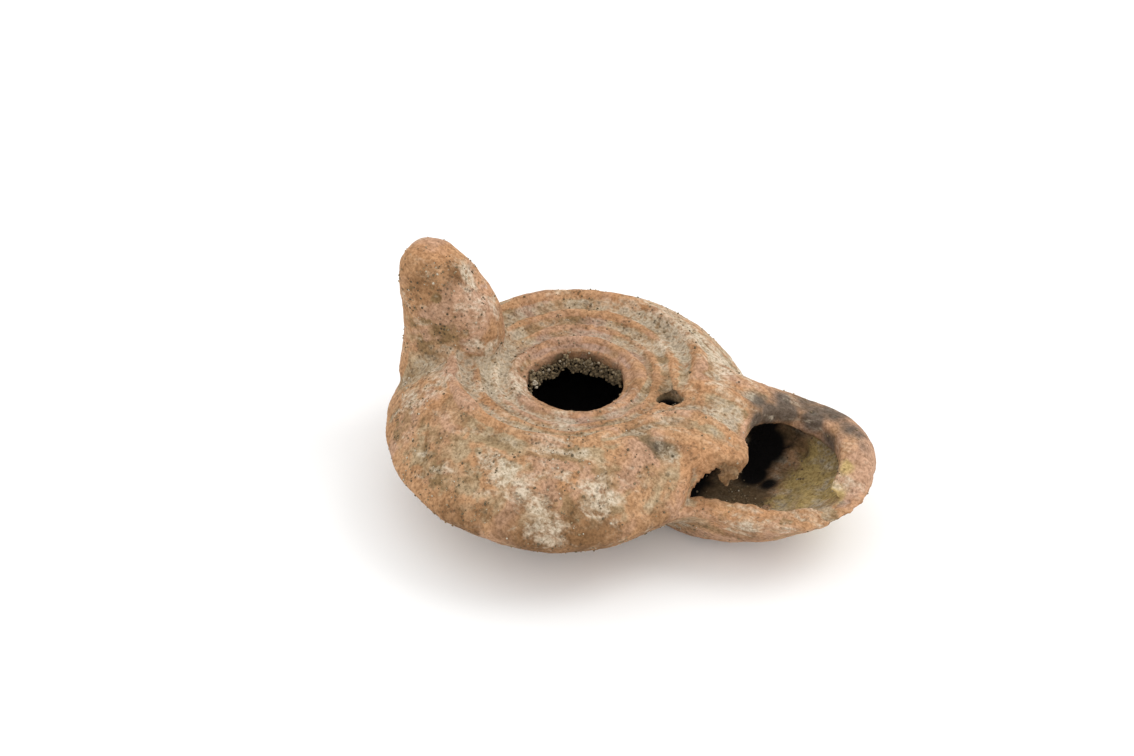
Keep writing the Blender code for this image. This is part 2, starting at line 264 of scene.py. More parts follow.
# Places inside the spout that no light reaches, where near black shade is painted on the clay.
SHADES: tuple[Spot, ...] = (
    Spot(38.0, 14.2, 9.1, 4.6, 1.30),
    Spot(36.3, 11.7, 6.3, 4.6, 1.30),
    Spot(41.6, 5.6, 6.0, 2.8, 0.90),
    Spot(37.5, 8.0, 5.2, 4.0, 1.10),
    Spot(45.9, 13.7, 10.2, 1.2, 1.20),
)

# Chips and dents in the clay, and the worn far edge of the air hole.
SCOOPS: tuple[Spot, ...] = (
    Spot(-20.6, -13.4, 28.2, 1.5, 0.90),
    Spot(25.9, -15.7, 26.4, 2.3, 0.60, 2.4),
    Spot(60.3, -8.6, 15.6, 2.0, 0.90),
    Spot(45.9, 13.7, 10.2, 1.3, 1.60),
    Spot(43.2, 15.3, 12.6, 1.0, 0.90),
    Spot(19.9, 3.1, 25.8, 1.8, 1.80),
    Spot(24.6, 8.4, 28.0, 0.9, 0.60, 1.8),
    Spot(-28.5, -7.0, 41.5, 1.2, 0.50),
    Spot(-26.0, -6.5, 44.5, 0.9, 0.40),
    Spot(-36.0, -4.0, 37.0, 1.6, 0.40),
    Spot(8.5, -39.5, 17.5, 1.3, 0.45),
    Spot(22.0, 18.0, 28.2, 2.2, 0.40),
    Spot(50.0, -16.8, 14.6, 2.4, 0.40),
    Spot(18.4, -27.0, 25.4, 2.2, 0.25),
)

# Where the torn rim of the spout is thicker on its inner side.
FILLS: tuple[Spot, ...] = (
    Spot(44.0, -12.6, 12.6, 4.0, 1.80, 2.0),
    Spot(53.0, -11.0, 13.6, 4.0, 1.50, 1.6),
)


def slope(values: np.ndarray, low: float, high: float) -> np.ndarray:
    """0 below low, 1 above high, and a smooth rise between.

    Args:
        values: numbers to grade.
        low: where the rise starts.
        high: where it ends.

    Returns:
        The graded numbers.
    """
    share = np.clip((values - low) / (high - low), 0.0, 1.0)
    return share * share * (3.0 - 2.0 * share)


def roughness_of(points: np.ndarray, size: float, octaves: int, shift: float = 0.0) -> np.ndarray:
    """Uneven noise, about -0.5 to 0.5.

    Args:
        points: places in metres.
        size: width of the largest lumps in metres.
        octaves: how many finer layers there are.
        shift: moves the pattern.

    Returns:
        The noise at each point.
    """
    places = (points / size + shift).tolist()
    return np.array([noise.fractal(place, 1.0, 2.0, octaves) for place in places])


class Skin:
    """The points of a fine mesh as arrays, to shape and mark it."""

    def __init__(self, mesh: bpy.types.Mesh) -> None:
        """Reads the mesh.

        Args:
            mesh: the mesh that is shaped.
        """
        self.mesh = mesh
        self.masks: dict[str, np.ndarray] = {}
        count = len(mesh.vertices)
        flat = np.empty(count * 3)
        mesh.vertices.foreach_get("co", flat)
        self.points = flat.reshape(-1, 3)
        ends = np.empty(len(mesh.edges) * 2, dtype=np.int32)
        mesh.edges.foreach_get("vertices", ends)
        self.edges = ends.reshape(-1, 2)
        self.neighbours = np.bincount(self.edges.ravel(), minlength=count).reshape(-1, 1)

    def normals(self) -> np.ndarray:
        """Each point's outward direction, from the mesh as it was last written."""
        flat = np.empty(len(self.points) * 3)
        self.mesh.vertices.foreach_get("normal", flat)
        return flat.reshape(-1, 3)

    def averaged(self, points: np.ndarray, rounds: int) -> np.ndarray:
        """Each point's mean with its neighbours, repeated.

        Args:
            points: the places to average.
            rounds: how many times.

        Returns:
            The averaged places.
        """
        one, other = self.edges.T
        count = len(points)
        for _ in range(rounds):
            sums = [
                np.bincount(one, points[other, axis], count) + np.bincount(other, points[one, axis], count)
                for axis in range(points.shape[1])
            ]
            points = np.stack(sums, axis=1) / self.neighbours
        return points

    def relax(self, rounds: int, ease: float = 0.50, push_back: float = 0.53) -> None:
        """Smooths the points and keeps the form's size.

        Args:
            rounds: how many times.
            ease: how far each point moves to its neighbours' mean.
            push_back: how far it then moves away again.
        """
        for _ in range(rounds):
            for step in (ease, -push_back):
                self.points += step * (self.averaged(self.points, 1) - self.points)

    def write(self) -> None:
        """Puts the points back in the mesh."""
        self.mesh.vertices.foreach_set("co", self.points.ravel())
        self.mesh.update()

    def mark(self, name: str, values: np.ndarray) -> None:
        """Stores a number at each point, for the material.

        Args:
            name: the mask's name.
            values: one number a point.
        """
        self.masks[name] = np.clip(values, 0.0, 1.0)
        layer = self.mesh.attributes.new(name, "FLOAT", "POINT")
        layer.data.foreach_set("value", self.masks[name].astype(np.float32))


class Recipe:
    """Builds one material step by step."""

    streak_turn = (0.0, math.radians(-35.0), math.radians(28.0))
    streak_scale = (0.38, 1.0, 1.0)
    sheen = 0.25

    def __init__(self, name: str) -> None:
        """Starts a material with its shader.

        Args:
            name: the material's name.
        """
        self.material = bpy.data.materials.new(name)
        self.material.use_nodes = True
        self.tree = self.material.node_tree
        self.shader = self.tree.nodes["Principled BSDF"]
        self.places = self.tree.nodes.new("ShaderNodeTexCoord").outputs["Object"]

    def feed(self, target: Socket, value: Socket | float | Colour) -> None:
        """Links a socket, or sets its number or colour.

        Args:
            target: the socket that is fed.
            value: a socket, a number or a colour.
        """
        if isinstance(value, Socket):
            self.tree.links.new(value, target)
        else:
            target.default_value = value

    def noise(self, size: float, detail: float = 4.0, roughness: float = 0.55, warp: float = 0.0,
              stretched: bool = False) -> Socket:
        """Cloudy noise, about 0.3 to 0.7.

        Args:
            size: width of its clouds in metres.
            detail: how many finer layers there are.
            roughness: how strong the finer layers are.
            warp: how much it swirls.
            stretched: whether the clouds are drawn out to streaks.

        Returns:
            The noise.
        """
        node = self.tree.nodes.new("ShaderNodeTexNoise")
        if stretched:
            drawn = self.tree.nodes.new("ShaderNodeMapping")
            drawn.inputs["Rotation"].default_value = self.streak_turn
            drawn.inputs["Scale"].default_value = self.streak_scale
            self.feed(drawn.inputs["Vector"], self.places)
            self.feed(node.inputs["Vector"], drawn.outputs["Vector"])
        else:
            self.feed(node.inputs["Vector"], self.places)
        self.feed(node.inputs["Scale"], 1.0 / size)
        self.feed(node.inputs["Detail"], detail)
        self.feed(node.inputs["Roughness"], roughness)
        self.feed(node.inputs["Distortion"], warp)
        return node.outputs["Fac"]

    def cells(self, size: float) -> Socket:
        """Distance to the nearest of scattered points, 0 at each.

        Args:
            size: about how far apart they are, in metres.

        Returns:
            The distance as a share of the size.
        """
        node = self.tree.nodes.new("ShaderNodeTexVoronoi")
        self.feed(node.inputs["Vector"], self.places)
        self.feed(node.inputs["Scale"], 1.0 / size)
        return node.outputs["Distance"]

    def mask(self, name: str) -> Socket:
        """A number stored on the mesh.

        Args:
            name: the mask's name.

        Returns:
            The number.
        """
        node = self.tree.nodes.new("ShaderNodeAttribute")
        node.attribute_name = name
        return node.outputs["Fac"]

    def sum(self, first: Socket | float, second: Socket | float, mode: str = "ADD") -> Socket:
        """Combines two numbers.

        Args:
            first: a number.
            second: another.
            mode: the operation's name.

        Returns:
            The result.
        """
        node = self.tree.nodes.new("ShaderNodeMath")
        node.operation = mode
        self.feed(node.inputs[0], first)
        self.feed(node.inputs[1], second)
        return node.outputs[0]

    def grade(self, value: Socket, low: float, high: float, top: float = 1.0) -> Socket:
        """A smooth rise from 0 at low to top at high. It falls where low is above high.

        Args:
            value: the number that is graded.
            low: where the result is 0.
            high: where the result is top.
            top: the largest result.

        Returns:
            The graded number.
        """
        node = self.tree.nodes.new("ShaderNodeMapRange")
        node.interpolation_type = "SMOOTHSTEP"
        ends = (low, high, 0.0, top) if low < high else (high, low, top, 0.0)
        self.feed(node.inputs["Value"], value)
        for name, number in zip(("From Min", "From Max", "To Min", "To Max"), ends):
            self.feed(node.inputs[name], number)
        return node.outputs["Result"]

    def blend(self, share: Socket | float, base: Socket | Colour, other: Socket | Colour,
              mode: str = "MIX") -> Socket:
        """Mixes two colours.

        Args:
            share: how much of the other colour there is.
            base: the first colour.
            other: the other colour.
            mode: how they are mixed.

        Returns:
            The mixed colour.
        """
        node = self.tree.nodes.new("ShaderNodeMix")
        node.data_type = "RGBA"
        node.blend_type = mode
        self.feed(node.inputs[0], share)
        self.feed(node.inputs[6], base)
        self.feed(node.inputs[7], other)
        return node.outputs[2]

    def patchy(self, mask: Socket, texture: Socket, spread: float, soft: float, top: float = 1.0) -> Socket:
        """A mask broken up by a texture, as a deposit is.

        Args:
            mask: where the deposit is.
            texture: what breaks it up, about 0.3 to 0.7.
            spread: how strongly the texture breaks it up.
            soft: half the width of its edges.
            top: the deposit's largest share.

        Returns:
            The deposit's share.
        """
        swing = self.sum(self.sum(texture, 0.5, "SUBTRACT"), spread, "MULTIPLY")
        return self.grade(self.sum(mask, swing), 0.5 - soft, 0.5 + soft, top)

    def done(self, colour: Socket | Colour, roughness: Socket | float, height: Socket | None,
             depth: float) -> bpy.types.Material:
        """Feeds the shader.

        Args:
            colour: the base colour.
            roughness: how matt it is.
            height: relief too fine for the mesh, or None.
            depth: the relief's height in metres.

        Returns:
            The finished material.
        """
        self.feed(self.shader.inputs["Base Color"], colour)
        self.feed(self.shader.inputs["Roughness"], roughness)
        self.shader.inputs["Specular IOR Level"].default_value = self.sheen
        if height is not None:
            bump = self.tree.nodes.new("ShaderNodeBump")
            bump.inputs["Strength"].default_value = 1.0
            bump.inputs["Distance"].default_value = depth
            self.feed(bump.inputs["Height"], height)
            self.feed(self.shader.inputs["Normal"], bump.outputs["Normal"])
        return self.material


@dataclass(frozen=True)
class FiredClay:
    """The lamp's worn clay: mottled tan and orange, with lime, soil and soot on it, and painted light and
    shade: near black inside the bowl and spout, browner low on the bowl, pale on the spout's floor and on
    the lid's near left.
    """

    tan: Colour = paint(187, 163, 131)
    warm: Colour = paint(192, 152, 116)
    brown: Colour = paint(156, 121, 86)
    # Brown of the clay, and painted shade where it darkens the bowl towards the bottom.
    under: Colour = paint(122, 88, 54)
    olive: Colour = paint(138, 112, 76)
    rose: Colour = paint(202, 167, 149)
    orange: Colour = paint(198, 149, 108)
    lime: Colour = paint(216, 203, 182)
    soot: Colour = paint(88, 82, 76)
    # Ochre of the clay, and painted light on the spout's floor.
    ochre: Colour = paint(204, 178, 118)
    soil: Colour = paint(104, 86, 62)
    # Painted shade: near black, laid where the clay is closed in from the light.
    dark: Colour = paint(10, 6, 5)
    grit: Colour = paint(86, 76, 58)

    def material(self) -> bpy.types.Material:
        """The clay's material, with its masks read from the mesh."""
        recipe = Recipe("fired_clay")
        clouds = recipe.noise(13.0 * MM, 4.0, 0.52, 0.5)
        mottle = recipe.noise(5.0 * MM, 4.0, 0.52, 0.8)
        streaks = recipe.noise(3.2 * MM, 6.0, 0.64, 0.5, stretched=True)
        flecks = recipe.noise(1.3 * MM, 5.0, 0.64, 0.3)
        grain = recipe.noise(0.60 * MM, 3.0, 0.60)
        specks = recipe.cells(1.0 * MM)
        colour = recipe.blend(recipe.grade(clouds, 0.42, 0.60), self.tan, self.warm)
        colour = recipe.blend(recipe.grade(mottle, 0.46, 0.66, 0.65), colour, self.brown)
        colour = recipe.blend(recipe.grade(streaks, 0.52, 0.36, 0.62), colour, self.olive)
        colour = self.coat(recipe, colour, Stain.OLIVE, mottle, self.olive, 1.8, 0.24, 0.90)
        colour = self.coat(recipe, colour, Stain.ROSE, mottle, self.rose, 1.4, 0.25, 0.90)
        colour = self.coat(recipe, colour, Stain.ORANGE, mottle, self.orange, 1.8, 0.24, 0.90)
        worn = recipe.patchy(recipe.mask("wear"), mottle, 1.4, 0.35, 0.75)
        rubbed = recipe.blend(recipe.grade(clouds, 0.46, 0.62, 0.6), self.orange, self.rose)
        colour = recipe.blend(worn, colour, rubbed)
        # Partly painted shade: the bowl goes browner and darker towards the bottom.
        colour = self.coat(recipe, colour, Stain.BROWN, mottle, self.under, 1.2, 0.45, 0.90)
        # Partly painted light: pale ochre on the spout's floor where light falls in.
        colour = self.coat(recipe, colour, Stain.OCHRE_AND_LIGHT, mottle, self.ochre, 1.4, 0.25, 0.95)
        colour = self.coat(recipe, colour, Stain.SOOT, mottle, self.soot, 0.9, 0.42, 0.88)
        dusty = recipe.sum(recipe.mask("grime"), 0.40, "MULTIPLY")
        settled = recipe.sum(recipe.mask(Stain.LIME_AND_LIGHT.value), dusty)
        limed = recipe.patchy(recipe.sum(settled, 0.02), streaks, 3.0, 0.36, 0.78)
        flecked = recipe.grade(flecks, 0.28, 0.56)
        colour = recipe.blend(recipe.sum(limed, flecked, "MULTIPLY"), colour, self.lime)
        muddy = recipe.patchy(recipe.sum(recipe.mask("grime"), 0.40, "MULTIPLY"), flecks, 2.4, 0.25, 0.60)
        colour = recipe.blend(muddy, colour, self.soil)
        colour = self.coat(recipe, colour, Stain.SOIL, flecks, self.soil, 1.6, 0.30, 0.90)
        spotted = recipe.sum(recipe.grade(specks, 0.34, 0.18), recipe.grade(mottle, 0.47, 0.56), "MULTIPLY")
        gritty = recipe.sum(recipe.mask(Stain.OLIVE.value), 0.22)
        colour = recipe.blend(recipe.sum(spotted, gritty, "MULTIPLY"), colour, self.grit)
        # Painted shade: near black inside the bowl and the spout, where the mask says little light reaches.
        colour = recipe.blend(recipe.grade(recipe.mask("hollow"), 0.20, 0.80), colour, self.dark)
        tone = recipe.blend(recipe.grade(flecks, 0.36, 0.62), paint(224, 220, 214), paint(255, 255, 255))
        colour = recipe.blend(1.0, colour, tone, "MULTIPLY")
        tone = recipe.blend(recipe.grade(grain, 0.36, 0.60), paint(214, 211, 204), paint(255, 255, 255))
        colour = recipe.blend(1.0, colour, tone, "MULTIPLY")
        relief = recipe.sum(recipe.sum(flecks, 0.6, "MULTIPLY"), recipe.sum(grain, 0.4, "MULTIPLY"))
        relief = recipe.sum(relief, recipe.sum(spotted, 0.30, "MULTIPLY"), "SUBTRACT")
        return recipe.done(colour, 0.88, relief, 0.26 * MM)

    @staticmethod
    def coat(recipe: Recipe, colour: Socket, stain: Stain, texture: Socket, paint_colour: Colour,
             spread: float, soft: float, top: float) -> Socket:
        """Lays one stain over the colour.

        Args:
            recipe: the material in the making.
            colour: what is under the stain.
            stain: whose mask is read.
            texture: what breaks it up.
            paint_colour: the stain's colour.
            spread: how strongly it is broken up.
            soft: half the width of its edges.
            top: its largest share.

        Returns:
            The stained colour.
        """
        share = recipe.patchy(recipe.mask(stain.value), texture, spread, soft, top)
        return recipe.blend(share, colour, paint_colour)


@dataclass(frozen=True)
class SoilGrains:
    """Grit of mixed stone and soil, dark to pale."""

    dark: Colour = paint(92, 80, 60)
    middle: Colour = paint(136, 118, 90)
    pale: Colour = paint(186, 174, 154)

    def material(self, name: str) -> bpy.types.Material:
        """The grains' material.

        Args:
            name: the material's name.

        Returns:
            A rough material whose colour follows each grain's tone.
        """
        recipe = Recipe(name)
        tone = recipe.mask("tone")
        colour = recipe.blend(recipe.grade(tone, 0.10, 0.60), self.dark, self.middle)
        colour = recipe.blend(recipe.grade(tone, 0.70, 0.95), colour, self.pale)
        return recipe.done(colour, 0.85, None, 0.0)


def link(name: str, mesh: bpy.types.Mesh) -> bpy.types.Object:
    """Makes an object of a mesh and puts it in the scene.

    Args:
        name: the piece's name.
        mesh: its mesh.

    Returns:
        The object.
    """
    made = bpy.data.objects.new(name, mesh)
    bpy.context.scene.collection.objects.link(made)
    return made


def fit_to_frame(piece: bpy.types.Object, material: bpy.types.Material) -> None:
    """Dresses a piece, shades it smooth and lets it ride on the lamp's body.

    Args:
        piece: the finished piece.
        material: its material.
    """
    piece.data.materials.clear()
    piece.data.materials.append(material)
    piece.data.shade_smooth()
    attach(piece, BODY)
    LOG.info("%s: %d faces", piece.name, len(piece.data.polygons))


# The lines, in millimetres, of the ridges that lead from the lid to the wick hole.
RIDGES: tuple[tuple[tuple[float, float], ...], ...] = (
    ((22.6, 8.0), (24.3, 5.2), (27.5, 4.0), (32.3, 4.4), (36.5, 5.2)),
    ((8.4, -24.3), (13.6, -19.4), (18.4, -12.0), (22.4, -7.0), (27.0, -5.2), (33.0, -4.4), (39.5, -5.0)),
)


@dataclass
class ClayBody:
    """The moulded clay lamp itself, which stands for the CAD solid.

    Attributes:
        voxel: width of the fine mesh's faces.
        merge_gap: how near two corners of the solid may be before they are one.
        smoothing: rounds of smoothing that take the solid's facets away.
        swell: height of the broad unevenness, which is swell_width wide.
        lumps: height of the small unevenness, which is lump_width wide.
        grain: height of the roughest grain that the mesh can hold.
        pit_spacing: about how far apart pits are.
        pit_depth: depth of the small pits.
        small_pits: their radius as a share of the spacing, and the share of places without a pit.
        wide_pits: the same for the wide pits, which lie wide_pit_scale times as far apart.
        base_rise: the heights between which the base turns into the worn wall.
        base_share: how uneven the base is beside the wall.
        break_roughness: height of the torn clay's unevenness.
        seam_height: height of the joint between the mould's halves, where the spout is torn.
        wear_scale: how far a crest has to stand out to be rubbed bare.
        crests: radius in millimetres and added height of each ring on the lid.
        grooves: the same for the grooves between them.
        ring_width: half the width of a ring or groove in millimetres.
        ring_reach: where the rings end, in millimetres from the middle of the lid.
        ring_share: how much of a ring is left where the wear is even.
        channel_start: where the spout's channel cuts the rings, in millimetres.
        ridge_crest: added height of the ridges beside the channel in millimetres.
        sight: how far a point looks for clay that shades it.
        dim: the openness, negated, between which a point is in shade and in full dark.
        half_open: the same for the shaded places in the spout.
        throat_reach: the filling hole's radius, negated, within which its wall stays light.
        throat_rise: the heights between which that wall grows light.
        chamber_top: the height below which the bowl's inside is painted dark as shade.
    """

    voxel: float = 0.62 * MM
    merge_gap: float = 0.01 * MM
    smoothing: int = 2
    swell: float = 0.60 * MM
    swell_width: float = 14.0 * MM
    lumps: float = 0.17 * MM
    lump_width: float = 4.5 * MM
    grain: float = 0.07 * MM
    grain_width: float = 1.6 * MM
    pit_spacing: float = 3.6 * MM
    pit_depth: float = 0.26 * MM
    small_pits: tuple[float, float] = (0.28, 0.55)
    wide_pits: tuple[float, float] = (0.22, 0.70)
    wide_pit_scale: float = 1.9
    wide_pit_depth: float = 1.5
    base_rise: tuple[float, float] = (0.4 * MM, 2.0 * MM)
    base_share: float = 0.15
    break_roughness: float = 0.7 * MM
    break_width: float = 3.0 * MM
    seam_height: float = 15.2 * MM
    wear_scale: float = 0.14 * MM
    wear_rounds: int = 20
    crests: tuple[tuple[float, float], ...] = ((13.2, 0.22), (16.8, 0.24), (20.6, 0.34), (25.6, 0.42))
    grooves: tuple[tuple[float, float], ...] = ((15.1, 0.34), (18.7, 0.30), (23.0, 0.42))
    ring_width: float = 0.95
    ring_reach: float = 28.0
    ring_share: float = 0.65
    ring_wear_width: float = 8.0 * MM
    least_ring: float = 0.25
    channel_start: tuple[float, float] = (19.5, 21.5)
    channel_side: tuple[float, float] = (-5.0, -3.5)
    lid_height: float = 22.5 * MM
    ridge_crest: float = 0.50
    ridge_width: float = 1.30
    slant_count: int = 6
    slant_rise: float = 0.8
    sight: float = 45.0 * MM
    dim: tuple[float, float] = (-0.34, -0.06)
    half_open: tuple[float, float] = (-0.85, -0.65)
    throat_reach: tuple[float, float] = (-11.5 * MM, -11.0 * MM)
    throat_rise: tuple[float, float] = (19.8 * MM, 21.0 * MM)
    spout_start: tuple[float, float] = (27.0 * MM, 36.0 * MM)
    chamber_top: float = 20.8 * MM
    chamber_reach: tuple[float, float] = (-35.0 * MM, -34.0 * MM)
    chamber_front: tuple[float, float] = (-33.0 * MM, -26.0 * MM)

    def build(self) -> tuple[bpy.types.Object, Skin]:
        """Makes the fine clay body.

        Returns:
            The finished piece, and its points for what clings to it.
        """
        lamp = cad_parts[LAMP_NODE]
        piece = self.remeshed(lamp)
        skin = Skin(piece.data)
        skin.relax(self.smoothing)
        skin.write()
        exposed = self.exposure(skin, lamp)
        self.weather(skin)
        self.stain(skin, exposed)
        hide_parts(LAMP_NODE)
        fit_to_frame(piece, FiredClay().material())
        return piece, skin

    def remeshed(self, lamp: bpy.types.Object) -> bpy.types.Object:
        """A copy of the solid with small even faces.

        Args:
            lamp: the CAD node.

        Returns:
            The copy, with nothing left live on it.
        """
        bm = bmesh.new()
        bm.from_mesh(lamp.data)
        bmesh.ops.remove_doubles(bm, verts=bm.verts[:], dist=self.merge_gap)
        coarse = bpy.data.meshes.new("lamp_coarse")
        bm.to_mesh(coarse)
        bm.free()
        piece = link("clay_body", coarse)
        remesh = piece.modifiers.new("fine_faces", "REMESH")
        remesh.mode = "VOXEL"
        remesh.voxel_size = self.voxel
        graph = bpy.context.evaluated_depsgraph_get()
        fine = bpy.data.meshes.new_from_object(piece.evaluated_get(graph))
        piece.modifiers.clear()
        piece.data = fine
        bpy.data.meshes.remove(coarse)
        fine.name = "clay_body"
        return piece

    def exposure(self, skin: Skin, lamp: bpy.types.Object) -> np.ndarray:
        """How open each point is to the light, from 0 deep inside to 1 on the open outside.

        Args:
            skin: the fine points.
            lamp: the CAD node, whose faces block the view.

        Returns:
            One share a point.
        """
        corners = [vertex.co for vertex in lamp.data.vertices]
        tree = BVHTree.FromPolygons(corners, [face.vertices for face in lamp.data.polygons])
        normals = skin.normals()
        slants = [Vector((0.0, 0.0, 1.0))]
        for turn in range(self.slant_count):
            angle = 2.0 * math.pi * turn / self.slant_count
            slants.append(Vector((math.cos(angle), math.sin(angle), self.slant_rise)).normalized())
        opened = np.zeros(len(skin.points))
        for index, (point, normal) in enumerate(zip(skin.points, normals)):
            away = Vector(normal)
            turned = away.to_track_quat("Z", "Y")
            start = Vector(point) + away * self.voxel
            hits = [tree.ray_cast(start, turned @ slant, self.sight)[0] for slant in slants]
            opened[index] = sum(hit is None for hit in hits)
        share = (opened / len(slants)).reshape(-1, 1)
        return skin.averaged(share, 3).ravel()

    def weather(self, skin: Skin) -> None:
        """Roughens, pits and chips the clay.

        Args:
            skin: the fine points, which are moved.
        """
        normals = skin.normals()
        points = skin.points
        depth = self.swell * roughness_of(points, self.swell_width, 2)
        depth += self.lumps * roughness_of(points, self.lump_width, 3, 5.0)
        depth += self.grain * roughness_of(points, self.grain_width, 2, 11.0)
        depth -= self.pits(points, self.pit_spacing, *self.small_pits) * self.pit_depth
        wide = self.pits(points, self.wide_pit_scale * self.pit_spacing, *self.wide_pits)
        depth -= wide * self.wide_pit_depth * self.pit_depth
        depth += self.rings(points, normals)
        for scoop in SCOOPS:
            depth -= scoop.share(points) * MM
        for fill in FILLS:
            depth += fill.share(points) * slope(normals[:, 1], -0.3, 0.4) * MM
        broken = self.broken(points)
        depth += broken * self.break_roughness * roughness_of(points, self.break_width, 3, 3.0)
        base = slope(points[:, 2], *self.base_rise)
        settled = base + (1.0 - base) * self.base_share
        skin.points = points + normals * (depth * settled).reshape(-1, 1)
        skin.points[:, 2] = np.maximum(skin.points[:, 2], 0.0)
        skin.write()

    def rings(self, points: np.ndarray, normals: np.ndarray) -> np.ndarray:
        """Sharpens the lid's rings and the ridges that lead to the wick hole.

        Args:
            points: places in metres.
            normals: their outward directions.

        Returns:
            The height to add, in metres.
        """
        flat = points[:, :2] / MM
        radius = np.hypot(flat[:, 0], flat[:, 1])
        raised = np.zeros(len(points))
        for sign, rings in ((1.0, self.crests), (-1.0, self.grooves)):
            for place, height in rings:
                raised += sign * height * np.exp(-((radius - place) / self.ring_width) ** 2)
        raised *= slope(-radius, -self.ring_reach, 1.0 - self.ring_reach)
        channel = slope(flat[:, 0], *self.channel_start) * slope(-np.abs(flat[:, 1]), *self.channel_side)
        raised *= 1.0 - channel
        away = np.full(len(points), self.ring_reach)
        for path in RIDGES:
            for start, end in zip(np.array(path), np.array(path[1:])):
                run = end - start
                share = np.clip((flat - start) @ run / (run @ run), 0.0, 1.0)
                away = np.minimum(away, np.linalg.norm(flat - start - share.reshape(-1, 1) * run, axis=1))
        raised = np.maximum(raised, self.ridge_crest * np.exp(-((away / self.ridge_width) ** 2)))
        worn = self.ring_share + roughness_of(points, self.ring_wear_width, 2, 31.0)
        top = slope(normals[:, 2], 0.15, 0.55) * slope(points[:, 2], self.lid_height, self.lid_height + MM)
        return raised * np.clip(worn, self.least_ring, 1.0) * top * MM

    def pits(self, points: np.ndarray, spacing: float, width: float, kept: float) -> np.ndarray:
        """Round pits scattered over the clay.

        Args:
            points: places in metres.
            spacing: about how far apart the pits may be.
            width: a pit's radius as a share of the spacing.
            kept: the share of places that get no pit.

        Returns:
            Each point's depth as a share of the deepest.
        """
        depths = np.zeros(len(points))
        for index, place in enumerate((points / spacing).tolist()):
            distances, centres = noise.voronoi(place)
            if distances[0] < width and abs(noise.cell(centres[0] * 7.3)) > kept:
                depths[index] = (1.0 - (distances[0] / width) ** 2) ** 2
        return depths

    def broken(self, points: np.ndarray) -> np.ndarray:
        """How much each point belongs to the torn edge of the spout's near side.

        Args:
            points: places in metres.

        Returns:
            1 on the torn clay and 0 away from it.
        """
        low = slope(-np.abs(points[:, 2] - self.seam_height), -1.6 * MM, -0.4 * MM)
        near = slope(-points[:, 1], -4.0 * MM, 1.0 * MM) * slope(points[:, 0], 31.0 * MM, 35.0 * MM)
        return low * near

    def stain(self, skin: Skin, exposed: np.ndarray) -> None:
        """Stores the masks that the material reads, among them the painted shade inside the bowl and the
        spout.

        Args:
            skin: the fine points.
            exposed: how open each point is.
        """
        normals = skin.normals()
        proud = skin.points - skin.averaged(skin.points, self.wear_rounds)
        bulge = np.sum(proud * normals, axis=1) / self.wear_scale
        # Painted shade: how closed in from the light each point is, from the ray casts.
        hollow = slope(-exposed, *self.dim)
        inside = self.chamber(skin.points, normals)
        radius = np.hypot(*skin.points[:, :2].T)
        throat = slope(-radius, *self.throat_reach) * slope(skin.points[:, 2], *self.throat_rise)
        hollow = np.maximum(hollow, inside) * (1.0 - throat)
        skin.mark("wear", bulge * (1.0 - hollow))
        skin.mark("grime", -bulge * (1.0 - hollow))
        lit = np.maximum(1.5 * self.spotted(skin.points, Stain.OCHRE_AND_LIGHT), self.spotted(skin.points, Stain.SOIL))
        lit *= slope(skin.points[:, 0], *self.spout_start)
        shaded = np.max([spot.share(skin.points) for spot in SHADES], axis=0)
        inside = np.maximum(inside, shaded * slope(-exposed, *self.half_open))
        skin.mark("hollow", np.maximum(inside, hollow * (1.0 - np.minimum(1.0, lit))) * (1.0 - throat))
        for stain in Stain:
            skin.mark(stain.value, self.spotted(skin.points, stain))

    def chamber(self, points: np.ndarray, normals: np.ndarray) -> np.ndarray:
        """Which points are on the inside of the bowl, where no light comes.

        Args:
            points: places in metres.
            normals: their outward directions.

        Returns:
            1 inside the bowl and 0 outside it and in the spout.
        """
        radius = np.maximum(np.hypot(points[:, 0], points[:, 1]), MM)
        inward = -np.sum(normals[:, :2] * points[:, :2], axis=1) / radius
        facing = np.maximum(slope(inward, 0.1, 0.4), slope(normals[:, 2], 0.4, 0.7))
        low = slope(-points[:, 2], -self.chamber_top, -self.chamber_top + MM)
        return facing * low * slope(-radius, *self.chamber_reach) * slope(-points[:, 0], *self.chamber_front)

    @staticmethod
    def spotted(points: np.ndarray, stain: Stain) -> np.ndarray:
        """One stain's strength at each point.

        Args:
            points: places in metres.
            stain: the stain.

        Returns:
            The strongest of its spots at each point.
        """
        return np.max([spot.share(points) for spot in STAINS[stain]], axis=0)


GRAIN_TURN = 6.28
GRAIN_STRETCH = (0.65, 1.25)


def grain_heap(name: str, places: np.ndarray, radii: np.ndarray, tones: np.ndarray,
               draws: np.random.Generator) -> bpy.types.Object:
    """Many small angular grains as one piece.

    Args:
        name: the piece's name.
        places: the grains' middles.
        radii: their radii.
        tones: dark to pale, from 0 to 1.
        draws: where their shapes come from.

    Returns:
        The piece, undressed.
    """
    bm = bmesh.new()
    for place, radius in zip(places, radii):
        turn = Matrix.Rotation(draws.uniform(0.0, GRAIN_TURN), 4, Vector(draws.normal(size=3)).normalized())
        shape = Matrix.Diagonal((*draws.uniform(*GRAIN_STRETCH, 3), 1.0))
        placed = Matrix.Translation(place) @ turn @ shape
        bmesh.ops.create_icosphere(bm, subdivisions=1, radius=radius, matrix=placed)
    mesh = bpy.data.meshes.new(name)
    bm.to_mesh(mesh)
    bm.free()
    corners = len(mesh.vertices) // len(places)
    layer = mesh.attributes.new("tone", "FLOAT", "POINT")
    layer.data.foreach_set("value", np.repeat(tones, corners).astype(np.float32))
    return link(name, mesh)


